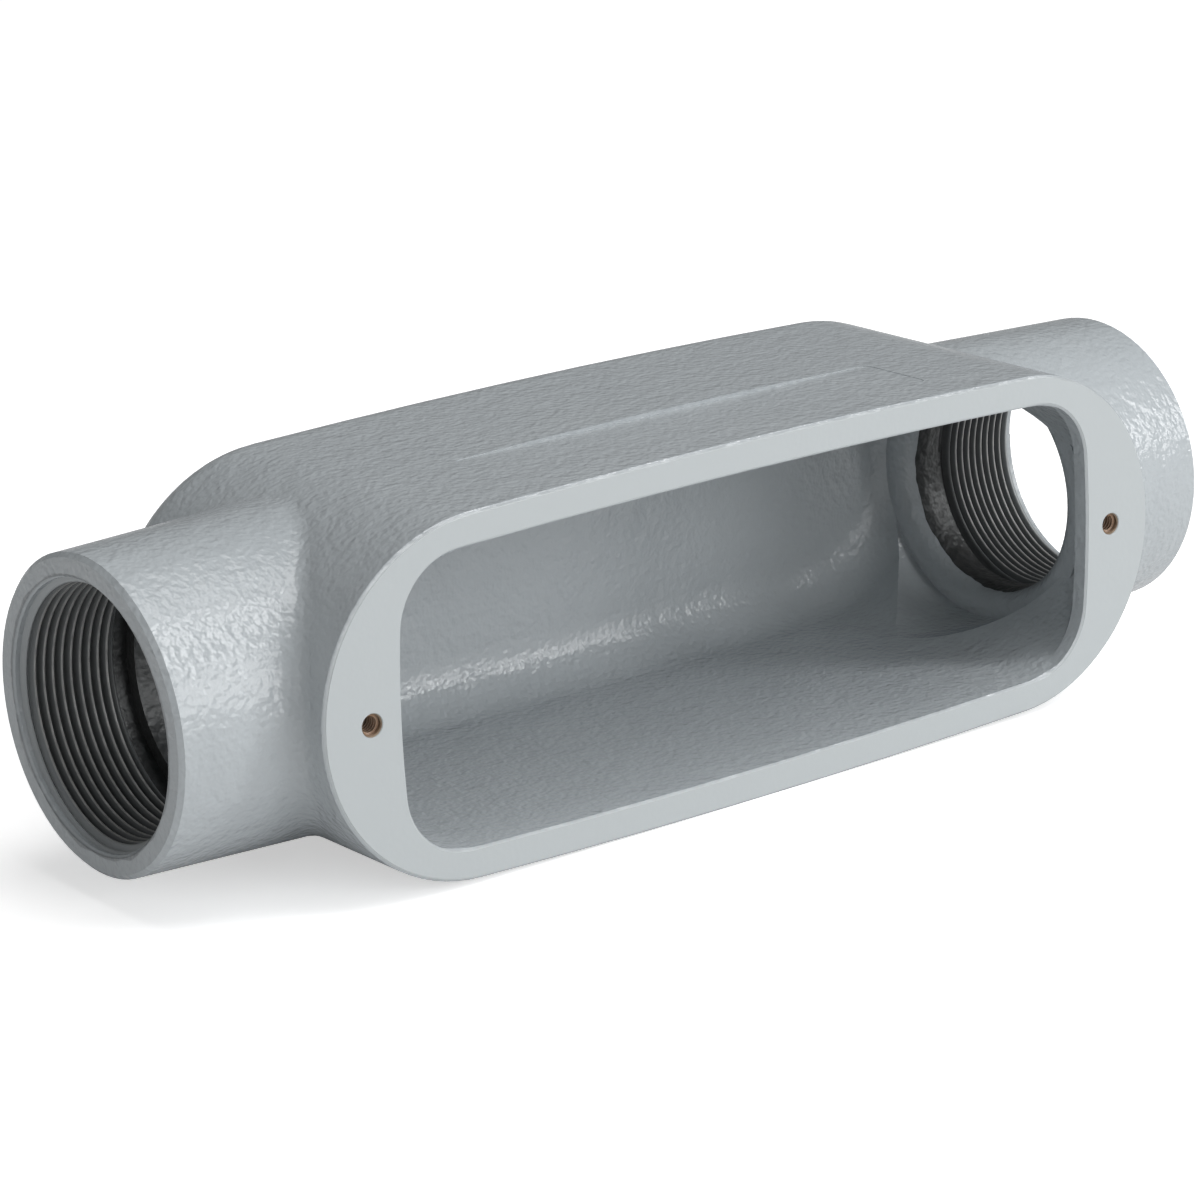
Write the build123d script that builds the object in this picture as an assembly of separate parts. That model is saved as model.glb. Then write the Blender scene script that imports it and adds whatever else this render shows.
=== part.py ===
from build123d import *
from math import radians, tan
import os

os.makedirs("parts", exist_ok=True)

# A type C conduit body: one iron casting with two threaded hubs in line and a long wiring opening on one side.
# X runs along the conduit, the cover face looks along -Y and +Z is up.
# The origin is on the common axis of the hubs, halfway between their ends. Lengths are in millimetres.

# Run of the conduit
run_length = 294.0
hub_mouth_radius = 35.0
hub_taper_deg = 1.9
hub_edge_bevel = 1.0
hub_root_blend = 5.5

# Threaded socket in each hub, modelled plain at the root of the thread
bore_radius = 29.7
bore_depth = 28.5
mouth_chamfer = 0.6

# Rounded entry between each socket and the chamber, which saves the wires from a sharp edge
throat_radius = 26.5
entry_depth = 39.5
entry_round_length = 7.8
entry_round_height = 6.0
entry_recess_radius = 33.0
entry_ring_radius = 35.5

# Body seen from the cover side: two long sides that bow out a little, with round ends.
# Its sides and back lie this far outside the mouths of the hubs.
face_distance = 45.5
face_half_length = 119.2
hub_to_side = 6.6
hub_to_back = 7.0
side_bow_radius = 2550.0
back_round = 12.0
face_edge_bevel = 0.7

# Walls and chamber
side_wall = 7.2
back_wall = 6.0
chamber_back_round = 12.0

# Opening in the cover face
end_rim = 20.0
opening_end_bow_radius = 258.0
opening_corner_radius = 16.0
opening_edge_bevel = 0.5
lug_depth = 11.0
lug_edge = 4.0

# Tapped holes for the two cover screws, on the centre line
screw_spacing = 213.8
screw_core_radius = 2.3
screw_mouth_chamfer = 0.45

# Shallow sunk panel on the top wall
panel_length = 120.0
panel_width = 21.0
panel_depth = 0.8
panel_from_face = 12.0
panel_corner_radius = 2.5

half_run = run_length / 2
face_half_width = hub_mouth_radius + hub_to_side
body_depth = face_distance + hub_mouth_radius + hub_to_back
body_root = face_half_length - face_half_width


def facing_plane(distance):
    """Sketch plane parallel to the cover face, at this distance from the hub axis towards the cover."""
    return Plane.XZ.offset(distance)


def round_ended(half_length, half_width, bow_radius):
    """Outline of two bowed long sides with end arcs tangent to both."""
    square = half_length**2 + half_width**2
    end_radius = (2 * half_width * bow_radius - square) / (2 * (bow_radius - half_length))
    reach = bow_radius / (bow_radius - end_radius)
    join_x = (half_length - end_radius) * reach
    join_z = (bow_radius - half_width) * (reach - 1)
    arcs = [
        ThreePointArc((-join_x, join_z), (0, half_width), (join_x, join_z)),
        ThreePointArc((join_x, join_z), (half_length, 0), (join_x, -join_z)),
        ThreePointArc((join_x, -join_z), (0, -half_width), (-join_x, -join_z)),
        ThreePointArc((-join_x, -join_z), (-half_length, 0), (-join_x, join_z)),
    ]
    return make_face(arcs)


def body_outline(inset):
    """Outline of the body at the cover face, moved in by this much."""
    return round_ended(face_half_length - inset, face_half_width - inset, side_bow_radius - inset)


def round_backed(inset, depth, edge_round):
    """Block of the body's outline, moved in, which runs back from the cover face to a rounded edge."""
    block = extrude(facing_plane(face_distance) * body_outline(inset), -depth)
    return fillet(block.edges().group_by(Axis.Y)[-1], edge_round)


def opening_outline(inset):
    """Bowed rectangle with rounded corners: the opening at the cover face, moved in by this much."""
    side_radius = side_bow_radius - side_wall - inset
    end_radius = opening_end_bow_radius - inset
    side_shift = face_half_width - side_bow_radius
    end_shift = face_half_length - end_rim - opening_end_bow_radius
    outline = Pos(0, side_shift) * Circle(side_radius) & Pos(0, -side_shift) * Circle(side_radius)
    outline &= Pos(end_shift, 0) * Circle(end_radius)
    outline &= Pos(-end_shift, 0) * Circle(end_radius)
    return fillet(outline.vertices(), opening_corner_radius - inset)


def hub():
    """Tapered outside of the right hub, run into the body so that they join all round."""
    root_radius = hub_mouth_radius + (half_run - body_root) * tan(radians(hub_taper_deg))
    corners = [(body_root, 0), (half_run, 0), (half_run, hub_mouth_radius), (body_root, root_radius)]
    profile = make_face(Polyline(corners, close=True))
    mouth_corner = profile.vertices().sort_by(Axis.X)[-2:].sort_by(Axis.Y)[-1]
    return revolve(chamfer(mouth_corner, hub_edge_bevel), Axis.X)


def entry_ring():
    """Raised ring round the throat of the right hub, still filled where the passage is cut."""
    front = half_run - entry_depth
    rear = face_half_length - side_wall / 2
    profile = Pos((front + rear) / 2, entry_ring_radius / 2) * Rectangle(rear - front, entry_ring_radius)
    return revolve(profile, Axis.X)


def passage():
    """Way through the right hub: recess in the end of the chamber, rounded entry, throat and socket."""
    front = half_run - entry_depth
    shoulder = half_run - bore_depth
    recess = [(body_root, 0), (body_root, entry_recess_radius), (front, entry_recess_radius)]
    lip = (front, throat_radius + entry_round_height)
    throat = (front + entry_round_length, throat_radius)
    socket = [(shoulder, throat_radius), (shoulder, bore_radius), (half_run - mouth_chamfer, bore_radius)]
    mouth = [(half_run, bore_radius + mouth_chamfer), (half_run, 0)]
    entry_centre = (throat[0], lip[1])
    entry = EllipticalCenterArc(entry_centre, entry_round_length, entry_round_height, 180, arc_size=90)
    outline = Polyline(recess + [lip]) + entry + Polyline([throat] + socket + mouth + recess[:1])
    return revolve(make_face(outline), Axis.X)


def screw_hole():
    """Tapped hole at the right end of the cover face, modelled plain at the core of the thread."""
    from_face = (Align.CENTER, Align.CENTER, Align.MAX)
    mouth_radius = screw_core_radius + screw_mouth_chamfer
    hole = Cylinder(screw_core_radius, lug_depth, align=from_face)
    hole += Cone(screw_core_radius, mouth_radius, screw_mouth_chamfer, align=from_face)
    return facing_plane(face_distance) * Pos(screw_spacing / 2, 0) * hole


def lugs():
    """Metal behind the ends of the cover face, which shapes the opening and holds the screws."""
    face = facing_plane(face_distance)
    plate = extrude(face * body_outline(side_wall / 2) - face * opening_outline(0), -lug_depth)
    slope = lug_depth - lug_edge
    flare = extrude(facing_plane(face_distance - lug_edge / 2) * opening_outline(-slope), -lug_depth)
    return plate - chamfer(flare.edges().group_by(Axis.Y)[0], slope + lug_edge / 2)


def opening_bevel():
    """Cutter for the fine bevel round the opening."""
    reach = 2 * opening_edge_bevel
    cutter = extrude(facing_plane(face_distance - reach) * opening_outline(-opening_edge_bevel), 2 * reach)
    return chamfer(cutter.edges().group_by(Axis.Y)[-1], reach)


def sunk_panel():
    """Cutter for the shallow panel on the top wall."""
    middle = face_distance - panel_from_face - panel_width / 2
    outline = RectangleRounded(panel_length, panel_width, panel_corner_radius)
    return extrude(Pos(0, -middle, face_half_width - panel_depth) * outline, face_half_width)


def both_ends(solid):
    return solid + mirror(solid, about=Plane.YZ)


def casting():
    body = round_backed(0, body_depth, back_round)
    body = chamfer(body.edges().group_by(Axis.Y)[0], face_edge_bevel)
    hubs = both_ends(hub())
    metal = body + hubs
    crease = new_edges(body, hubs, combined=metal)
    metal = fillet(crease, hub_root_blend)
    metal -= round_backed(side_wall, body_depth - back_wall, chamber_back_round)
    metal += lugs() + both_ends(entry_ring())
    return metal - both_ends(passage()) - both_ends(screw_hole()) - sunk_panel() - opening_bevel()


conduit_body = casting()
export_step(conduit_body, "parts/conduit_body.step")
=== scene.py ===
import bpy
from math import cos, pi, radians, sin
from mathutils import Matrix, Vector


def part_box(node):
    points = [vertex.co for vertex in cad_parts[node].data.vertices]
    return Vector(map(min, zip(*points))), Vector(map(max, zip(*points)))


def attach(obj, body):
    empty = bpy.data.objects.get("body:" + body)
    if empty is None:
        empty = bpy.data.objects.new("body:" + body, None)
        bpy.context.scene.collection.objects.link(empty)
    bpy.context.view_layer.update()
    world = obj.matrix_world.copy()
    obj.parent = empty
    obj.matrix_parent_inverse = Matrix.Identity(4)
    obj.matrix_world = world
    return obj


# A grey enamelled conduit body of cast iron on a white table. Lengths are in metres.

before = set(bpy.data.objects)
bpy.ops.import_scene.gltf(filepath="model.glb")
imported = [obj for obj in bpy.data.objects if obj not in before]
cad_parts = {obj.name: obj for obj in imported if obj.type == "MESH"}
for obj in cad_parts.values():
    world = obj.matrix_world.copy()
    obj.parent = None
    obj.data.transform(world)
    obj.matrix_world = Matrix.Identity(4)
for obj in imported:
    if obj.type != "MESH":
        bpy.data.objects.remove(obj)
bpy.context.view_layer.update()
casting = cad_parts["conduit_body"]

# Sizes of the casting that its finish and its threads follow
face_y = -0.0455
hub_end_x = 0.147
bore_radius = 0.0297
screw_x = 0.1069
screw_radius = 0.0023
lug_depth = 0.011
table_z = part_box("conduit_body")[0].z

# Camera, worked out from the photo: place, heading, tilt, lean and lens
camera_place = Vector((-0.5867, -0.7319, 0.2830))
camera_azimuth = radians(-38.206)
camera_elevation = radians(17.108)
camera_roll = radians(-1.663)
camera_lens = 128.75

# Table and world
table_half_width = 6.0
table_glow = 0.52
world_strength = 0.14

# Colours of the enamel and of bare iron
enamel_dark = (0.352, 0.380, 0.398, 1)
enamel_light = (0.388, 0.416, 0.432, 1)
enamel_on_face = (0.392, 0.420, 0.430, 1)
iron_dark = (0.028, 0.030, 0.030, 1)
iron_light = (0.085, 0.088, 0.089, 1)
tapped_iron = (0.16, 0.115, 0.075, 1)
mouth_paint = (0.30, 0.32, 0.33, 1)
# Thread colours: the crest colours are bright worn iron and also a painted highlight
hub_valley = (0.046, 0.049, 0.050, 1)
hub_crest = (0.42, 0.42, 0.41, 1)
screw_valley = (0.12, 0.070, 0.040, 1)
screw_crest = (0.90, 0.74, 0.60, 1)

# Relief of the sand-cast skin and of the enamel's peel
cast_height = 0.00042
peel_height = 0.00031

# Uneven edge of the paint: where it ends inside each entry, and how far it wanders
paint_end_x = 0.1105
paint_wander = 0.0030


def make_camera():
    data = bpy.data.cameras.new("camera")
    data.sensor_width = 36.0
    data.lens = camera_lens
    data.clip_start = 0.05
    data.clip_end = 20.0
    camera = bpy.data.objects.new("camera", data)
    bpy.context.scene.collection.objects.link(camera)
    back = Vector((
        sin(camera_azimuth) * cos(camera_elevation),
        -cos(camera_azimuth) * cos(camera_elevation),
        sin(camera_elevation),
    ))
    level = Vector((cos(camera_azimuth), sin(camera_azimuth), 0))
    upright = back.cross(level)
    right = level * cos(camera_roll) + upright * sin(camera_roll)
    up = upright * cos(camera_roll) - level * sin(camera_roll)
    turn = Matrix((right, up, back)).transposed()
    camera.matrix_world = Matrix.Translation(camera_place) @ turn.to_4x4()
    bpy.context.scene.camera = camera


def make_lamp(name, place, size, power):
    """Softbox that points at the middle of the casting."""
    data = bpy.data.lights.new(name, "AREA")
    data.shape = "RECTANGLE"
    data.size, data.size_y = size
    data.energy = power
    lamp = bpy.data.objects.new(name, data)
    bpy.context.scene.collection.objects.link(lamp)
    lamp.location = place
    lamp.rotation_euler = (-Vector(place)).to_track_quat("-Z", "Y").to_euler()


class Graph:
    """Short ways to add and join the nodes of one tree."""

    def __init__(self, tree):
        self.tree = tree

    def add(self, kind, inputs=None, **settings):
        node = self.tree.nodes.new(kind)
        for name, value in settings.items():
            setattr(node, name, value)
        for key, value in (inputs or {}).items():
            self.feed(node.inputs[key], value)
        return node

    def feed(self, socket, value):
        if isinstance(value, bpy.types.NodeSocket):
            self.tree.links.new(value, socket)
        else:
            socket.default_value = value

    def math(self, operation, *values, clamp=False):
        node = self.tree.nodes.new("ShaderNodeMath")
        node.operation = operation
        node.use_clamp = clamp
        for socket, value in zip(node.inputs, values):
            self.feed(socket, value)
        return node.outputs[0]

    def ramp(self, value, low, high):
        """0 below the low value, 1 above the high one."""
        slope = self.math("SUBTRACT", value, low)
        return self.math("DIVIDE", slope, high - low, clamp=True)

    def fall(self, value, low, high):
        """1 below the low value, 0 above the high one."""
        return self.math("SUBTRACT", 1.0, self.ramp(value, low, high))

    def distance(self, first, second):
        """Distance from a line, from the two measures square to it."""
        first_square = self.math("MULTIPLY", first, first)
        second_square = self.math("MULTIPLY", second, second)
        return self.math("SQRT", self.math("ADD", first_square, second_square))

    def mix(self, factor, first, second):
        node = self.tree.nodes.new("ShaderNodeMix")
        node.data_type = "RGBA"
        for key, value in (("Factor_Float", factor), ("A_Color", first), ("B_Color", second)):
            socket = next(s for s in node.inputs if s.identifier == key)
            self.feed(socket, value)
        return next(s for s in node.outputs if s.identifier == "Result_Color")

    def blend(self, factor, first, second):
        """Number between the first and the second."""
        change = self.math("SUBTRACT", second, first)
        return self.math("MULTIPLY_ADD", factor, change, first)

    def noise(self, coords, scale, detail=2.0, roughness=0.5):
        inputs = {"Vector": coords, "Scale": scale, "Detail": detail, "Roughness": roughness}
        return self.add("ShaderNodeTexNoise", inputs).outputs["Fac"]

    def split(self, vector):
        """The X, Y and Z of a vector."""
        return self.add("ShaderNodeSeparateXYZ", {"Vector": vector}).outputs

    def join(self, x, y, z):
        """Vector of these three numbers."""
        return self.add("ShaderNodeCombineXYZ", {"X": x, "Y": y, "Z": z}).outputs[0]


def new_material(name):
    material = bpy.data.materials.new(name)
    material.use_nodes = True
    graph = Graph(material.node_tree)
    return material, graph, material.node_tree.nodes["Principled BSDF"]


def make_table():
    low, high = -table_half_width, table_half_width
    mesh = bpy.data.meshes.new("table")
    corners = [(low, low, table_z), (high, low, table_z), (high, high, table_z), (low, high, table_z)]
    mesh.from_pydata(corners, [], [(0, 1, 2, 3)])
    table = bpy.data.objects.new("table", mesh)
    bpy.context.scene.collection.objects.link(table)
    material, graph, shader = new_material("white_table")
    shader.inputs["Base Color"].default_value = (0.9, 0.9, 0.9, 1)
    shader.inputs["Roughness"].default_value = 0.8
    shader.inputs["Emission Color"].default_value = (1, 1, 1, 1)
    seen = graph.add("ShaderNodeLightPath").outputs["Is Camera Ray"]
    graph.feed(shader.inputs["Emission Strength"], graph.math("MULTIPLY", seen, table_glow))
    mesh.materials.append(material)


def make_world():
    world = bpy.data.worlds.new("studio")
    world.use_nodes = True
    world.node_tree.nodes["Background"].inputs["Color"].default_value = (1, 1, 1, 1)
    world.node_tree.nodes["Background"].inputs["Strength"].default_value = world_strength
    bpy.context.scene.world = world


def finish_places(graph, coords):
    """Where the cover face is ground, where iron is bare and which of that is a tapped screw hole."""
    place = graph.split(coords)
    y, z = place["Y"], place["Z"]
    side = graph.math("ABSOLUTE", place["X"])
    off_axis = graph.distance(y, z)
    wander = graph.noise(coords, 90.0, 3.0)
    ground = graph.fall(y, face_y + 0.0001, face_y + 0.0005)

    # Throat and socket, from the uneven edge of the paint to a little inside the mouth
    bore_start = graph.math("MULTIPLY_ADD", wander, paint_wander, paint_end_x)
    past_entry = graph.math("GREATER_THAN", side, bore_start)
    short_of_mouth = graph.fall(side, hub_end_x - 0.0026, hub_end_x - 0.0018)
    in_hub = graph.math("MULTIPLY", past_entry, short_of_mouth)
    in_bore = graph.fall(off_axis, bore_radius + 0.0001, bore_radius + 0.0003)
    bore = graph.math("MULTIPLY", in_hub, in_bore)

    # Thinly painted ring on the end of the hub, next to the bore
    at_mouth = graph.ramp(side, hub_end_x - 0.0003, hub_end_x - 0.0001)
    paint_edge = graph.math("MULTIPLY_ADD", wander, paint_wander, bore_radius - 0.0006)
    inside_line = graph.math("LESS_THAN", off_axis, paint_edge)
    thin_ring = graph.math("MULTIPLY", graph.math("MULTIPLY", at_mouth, inside_line), 0.45)

    # Screw holes, as deep as the lugs
    from_screw = graph.distance(graph.math("SUBTRACT", side, screw_x), z)
    near_screw = graph.fall(from_screw, screw_radius + 0.0002, screw_radius + 0.0004)
    in_lug = graph.fall(y, face_y + lug_depth + 0.0002, face_y + lug_depth + 0.0005)
    tapped = graph.math("MULTIPLY", near_screw, in_lug)
    bare = graph.math("MAXIMUM", graph.math("MAXIMUM", bore, thin_ring), tapped)
    return ground, bare, tapped


def enamel():
    """Grey enamel over the sand-cast skin, smoother on the ground cover face, with iron bare in the bores."""
    material, graph, shader = new_material("grey_enamel")
    coords = graph.add("ShaderNodeTexCoord").outputs["Object"]
    ground, bare, tapped = finish_places(graph, coords)

    # Colour and gloss
    grey = graph.mix(graph.noise(coords, 38.0, 4.0, 0.55), enamel_dark, enamel_light)
    grey = graph.mix(ground, grey, enamel_on_face)
    iron = graph.mix(graph.noise(coords, 420.0, 3.0), iron_dark, iron_light)
    iron = graph.mix(tapped, iron, tapped_iron)
    graph.feed(shader.inputs["Base Color"], graph.mix(bare, grey, iron))
    graph.feed(shader.inputs["Metallic"], graph.math("MULTIPLY", bare, 0.5))
    gloss = graph.blend(graph.noise(coords, 150.0, 3.0), 0.19, 0.27)
    gloss = graph.blend(ground, gloss, 0.34)
    graph.feed(shader.inputs["Roughness"], graph.blend(bare, gloss, 0.45))

    # Sand-cast unevenness under the enamel, and the peel of the enamel itself
    cast = graph.noise(coords, 190.0, 2.0, 0.5)
    peel = graph.noise(coords, 680.0, 1.0, 0.4)
    grain = graph.math("MULTIPLY_ADD", cast, cast_height, graph.math("MULTIPLY", peel, peel_height))
    height = graph.math("MULTIPLY", grain, graph.blend(ground, 1.0, 0.10))
    bump = graph.add("ShaderNodeBump", {"Height": height, "Strength": 1.0, "Distance": 1.0})
    graph.feed(shader.inputs["Normal"], bump.outputs["Normal"])
    return material


def lighter(colour, factor):
    return tuple(part * factor for part in colour[:3]) + (1,)


def cut_iron(name, valley, crest, roughness):
    """Cut thread, dark in its valleys and lighter up its flanks as painted shade, worn bright on its crests
    with a painted highlight there too, and painted with enamel next to a hub's mouth.
    """
    material, graph, shader = new_material(name)
    coords = graph.add("ShaderNodeTexCoord").outputs["Object"]
    rise = graph.add("ShaderNodeAttribute", attribute_name="crest").outputs["Fac"]
    # Crests: bright worn iron, with a painted highlight along the same line
    worn_and_painted_highlight = graph.math("MULTIPLY", graph.ramp(rise, 0.86, 0.99), graph.noise(coords, 350.0, 3.0))
    valley_colour = graph.mix(graph.noise(coords, 600.0, 3.0), valley, lighter(valley, 1.6))
    # Painted shade: the thread is lighter up its flanks towards the crest and darker down in its valleys, by
    # the ridge's height
    painted_shade_flank_colour = graph.mix(rise, valley_colour, lighter(valley, 2.6))
    iron = graph.mix(graph.math("MULTIPLY", worn_and_painted_highlight, 1.3, clamp=True), painted_shade_flank_colour, crest)
    side = graph.math("ABSOLUTE", graph.split(coords)["X"])
    painted = graph.ramp(side, hub_end_x - 0.0046, hub_end_x - 0.0030)
    graph.feed(shader.inputs["Base Color"], graph.mix(painted, iron, mouth_paint))
    graph.feed(shader.inputs["Metallic"], graph.blend(worn_and_painted_highlight, 0.0, 0.5))
    graph.feed(shader.inputs["Roughness"], roughness)
    scratches = graph.noise(coords, 1400.0, 3.0)
    bump = graph.add("ShaderNodeBump", {"Height": scratches, "Strength": 1.0, "Distance": 0.00004})
    graph.feed(shader.inputs["Normal"], bump.outputs["Normal"])
    return material


thread_inputs = [
    ("Turns", "NodeSocketInt"),
    ("Steps Per Turn", "NodeSocketInt"),
    ("Pitch", "NodeSocketFloat"),
    ("Start", "NodeSocketFloat"),
    ("Root Radius", "NodeSocketFloat"),
    ("Height", "NodeSocketFloat"),
    ("Taper", "NodeSocketFloat"),
    ("Sunk Radius", "NodeSocketFloat"),
    ("Thickness", "NodeSocketFloat"),
    ("Runout", "NodeSocketFloat"),
    ("Heading", "NodeSocketFloat"),
    ("Place", "NodeSocketVector"),
    ("Finish", "NodeSocketMaterial"),
]
points_across_ridge = 13
ridge_flat_from = 0.85
entry_steepness = 1.4
weld_distance = 1e-6


def thread_tree():
    """Node tree of an inside thread: a strip with one ridge, wound inwards from the mouth at the origin."""
    tree = bpy.data.node_groups.new("inside_thread", "GeometryNodeTree")
    tree.interface.new_socket("Geometry", in_out="OUTPUT", socket_type="NodeSocketGeometry")
    for name, kind in thread_inputs:
        tree.interface.new_socket(name, in_out="INPUT", socket_type=kind)
    graph = Graph(tree)
    given = graph.add("NodeGroupInput").outputs

    # The strip: x counts the turns, y runs across one ridge
    strip = graph.add("GeometryNodeMeshGrid", {
        "Size X": given["Turns"],
        "Size Y": 1.0,
        "Vertices X": graph.math("MULTIPLY_ADD", given["Turns"], given["Steps Per Turn"], 1.0),
        "Vertices Y": points_across_ridge,
    })
    spot = graph.split(graph.add("GeometryNodeInputPosition").outputs[0])
    turn = graph.math("MULTIPLY_ADD", given["Turns"], 0.5, spot["X"])
    along = graph.math("ADD", turn, spot["Y"])

    # The ridge, which fades at both ends of the thread
    lean = graph.math("MULTIPLY_ADD", graph.math("ABSOLUTE", spot["Y"]), -2.0, 1.0)
    ridge = graph.math("MINIMUM", graph.math("DIVIDE", lean, ridge_flat_from), 1.0)
    entry = graph.math("MULTIPLY", along, entry_steepness, clamp=True)
    left = graph.math("SUBTRACT", given["Turns"], along)
    runout = graph.math("DIVIDE", left, given["Runout"], clamp=True)
    fade = graph.math("MULTIPLY", entry, runout)

    # Radius and place
    depth = graph.math("MULTIPLY_ADD", along, given["Pitch"], given["Start"])
    root = graph.math("SUBTRACT", given["Root Radius"], graph.math("MULTIPLY", depth, given["Taper"]))
    crest = graph.math("SUBTRACT", root, graph.math("MULTIPLY", ridge, given["Height"]))
    reach = graph.math("SUBTRACT", given["Sunk Radius"], crest)
    radius = graph.math("SUBTRACT", given["Sunk Radius"], graph.math("MULTIPLY", reach, fade))
    angle = graph.math("MULTIPLY", turn, -2 * pi)
    across = graph.math("MULTIPLY", radius, graph.math("COSINE", angle))
    upward = graph.math("MULTIPLY", radius, graph.math("SINE", angle))
    place = graph.join(graph.math("MULTIPLY", depth, -1.0), across, upward)
    marked = graph.add(
        "GeometryNodeStoreNamedAttribute",
        {"Geometry": strip.outputs["Mesh"], "Name": "crest"},
        data_type="FLOAT",
        domain="POINT",
    )
    rise = graph.math("MULTIPLY", ridge, fade)
    graph.feed(next(s for s in marked.inputs if s.name == "Value" and s.enabled), rise)
    wound = graph.add("GeometryNodeSetPosition", {"Geometry": marked.outputs[0], "Position": place})
    weld = {"Geometry": wound.outputs[0], "Distance": weld_distance}
    skin = graph.add("GeometryNodeMergeByDistance", weld)

    # Thickness behind the skin, so that the thread is a closed solid
    where = graph.split(graph.add("GeometryNodeInputPosition").outputs[0])
    radial = graph.join(0.0, where["Y"], where["Z"])
    outward = graph.add("ShaderNodeVectorMath", {0: radial}, operation="NORMALIZE").outputs[0]
    thicken = {
        "Mesh": skin.outputs[0],
        "Offset": outward,
        "Offset Scale": given["Thickness"],
        "Individual": False,
    }
    back = graph.add("GeometryNodeExtrudeMesh", thicken, mode="FACES")
    turned = graph.add("GeometryNodeFlipFaces", {"Mesh": skin.outputs[0]})
    both = graph.add("GeometryNodeJoinGeometry")
    graph.feed(both.inputs[0], back.outputs["Mesh"])
    graph.feed(both.inputs[0], turned.outputs[0])
    weld = {"Geometry": both.outputs[0], "Distance": weld_distance}
    closed = graph.add("GeometryNodeMergeByDistance", weld)
    shading = {"Geometry": closed.outputs[0], "Shade Smooth": True}
    smooth = graph.add("GeometryNodeSetShadeSmooth", shading)
    heading = graph.join(0.0, 0.0, given["Heading"])
    move = {"Geometry": smooth.outputs[0], "Translation": given["Place"], "Rotation": heading}
    moved = graph.add("GeometryNodeTransform", move)
    realized = graph.add("GeometryNodeRealizeInstances", {"Geometry": moved.outputs[0]})
    finish = {"Geometry": realized.outputs[0], "Material": given["Finish"]}
    finished = graph.add("GeometryNodeSetMaterial", finish)
    graph.add("NodeGroupOutput", {"Geometry": finished.outputs[0]})
    return tree


def make_thread(tree, name, values):
    """Thread made from the tree with these values, as a plain mesh that rides with the casting."""
    maker = bpy.data.objects.new(name + "_maker", bpy.data.meshes.new(name + "_maker"))
    bpy.context.scene.collection.objects.link(maker)
    modifier = maker.modifiers.new("thread", "NODES")
    modifier.node_group = tree
    sockets = {item.name: item.identifier for item in tree.interface.items_tree if item.in_out == "INPUT"}
    for key, value in values.items():
        modifier[sockets[key]] = value
    depsgraph = bpy.context.evaluated_depsgraph_get()
    mesh = bpy.data.meshes.new_from_object(maker.evaluated_get(depsgraph), depsgraph=depsgraph)
    bpy.data.objects.remove(maker)
    mesh.name = name
    piece = bpy.data.objects.new(name, mesh)
    bpy.context.scene.collection.objects.link(piece)
    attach(piece, "root")


def make_threads():
    tree = thread_tree()
    hub = {
        "Turns": 11,
        "Steps Per Turn": 72,
        "Pitch": 0.002209,
        "Start": 0.0012,
        "Root Radius": 0.02990,
        "Height": 0.00162,
        "Taper": 1 / 32,
        "Sunk Radius": 0.0300,
        "Thickness": 0.0004,
        "Runout": 1.2,
        "Finish": cut_iron("hub_thread_iron", hub_valley, hub_crest, 0.40),
    }
    screw = {
        "Turns": 8,
        "Steps Per Turn": 28,
        "Pitch": 0.00079,
        "Start": 0.0006,
        "Root Radius": 0.00236,
        "Height": 0.00050,
        "Taper": 0.0,
        "Sunk Radius": 0.0024,
        "Thickness": 0.0002,
        "Runout": 1.0,
        "Finish": cut_iron("screw_thread_iron", screw_valley, screw_crest, 0.40),
    }
    places = [
        ("right_hub_thread", hub, "cut_thread", 0.0, (hub_end_x, 0, 0)),
        ("left_hub_thread", hub, "cut_thread", pi, (-hub_end_x, 0, 0)),
        ("right_screw_thread", screw, "screw_thread", -pi / 2, (screw_x, face_y, 0)),
        ("left_screw_thread", screw, "screw_thread", -pi / 2, (-screw_x, face_y, 0)),
    ]
    for name, values, slot, heading, place in places:
        make_thread(tree, name, values | {"Heading": heading, "Place": place})


make_camera()
make_lamp("softbox_right", (1.30, -1.25, 1.25), (0.42, 2.0), 26)
make_lamp("softbox_front", (0.50, -2.05, 0.62), (1.5, 1.0), 22)
make_lamp("softbox_top", (0.20, -0.20, 2.2), (1.4, 1.4), 23)
make_lamp("softbox_left", (-1.95, -0.50, 0.75), (1.0, 1.0), 3)
make_lamp("strip_left", (-1.10, -1.75, 0.66), (0.12, 1.2), 1.8)
make_table()
make_world()
make_threads()
casting.data.materials.clear()
casting.data.materials.append(enamel())
bpy.context.scene.view_settings.view_transform = "Standard"
